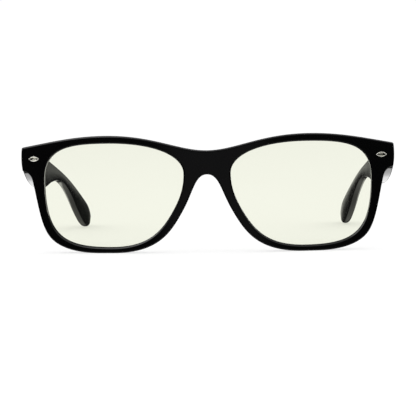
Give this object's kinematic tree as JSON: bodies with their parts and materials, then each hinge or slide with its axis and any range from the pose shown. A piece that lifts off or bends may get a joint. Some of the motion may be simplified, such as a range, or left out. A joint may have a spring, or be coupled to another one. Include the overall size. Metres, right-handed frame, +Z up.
{
  "type": "blue light glasses",
  "caption": "Full-rim rectangular glasses with nearly clear lenses, riveted end pieces and folding temples with broad paddle tips.",
  "frame": {"origin": "middle of the bounding box in x and y, on the floor that the rims and temple tips stand on", "axes": "+Z up, the front faces -Y, the open temples run towards +Y, the wearer's left is +X"},
  "size_m": [0.144, 0.146, 0.045],
  "materials": {
    "frame_black": "polished black",
    "pad_black": "satin black",
    "lens": "clear with a faint yellow-green tint",
    "shield_silver": "polished",
    "hinge_steel": "satin",
    "screw_steel": "turned",
    "core_steel": "plain"
  },
  "bodies": {
    "front": {"frame_front": "frame_black", "nose_pad_left": "pad_black", "nose_pad_right": "pad_black", "lens_left": "lens", "lens_right": "lens", "shield_left": "shield_silver", "shield_right": "shield_silver", "front_hinge_left": "hinge_steel", "front_hinge_right": "hinge_steel", "hinge_screw_left": "screw_steel", "hinge_screw_right": "screw_steel"},
    "temple_arm_left": {"temple_left": "frame_black", "temple_core_left": "core_steel", "temple_hinge_left": "hinge_steel", "temple_rivet_upper_left": "shield_silver", "temple_rivet_lower_left": "shield_silver"},
    "temple_arm_right": {"temple_right": "frame_black", "temple_core_right": "core_steel", "temple_hinge_right": "hinge_steel", "temple_rivet_upper_right": "shield_silver", "temple_rivet_lower_right": "shield_silver"}
  },
  "joints": [
    {"name": "left_temple_fold", "type": "hinge", "parent": "front", "child": "temple_arm_left", "pos_m": [0.066, -0.05773, 0.0363], "axis": [0, 0.165, 0.9863], "range_deg": [0, 86.6]},
    {"name": "right_temple_fold", "type": "hinge", "parent": "front", "child": "temple_arm_right", "pos_m": [-0.066, -0.05773, 0.0363], "axis": [0, -0.165, -0.9863], "range_deg": [0, 75]}
  ]
}
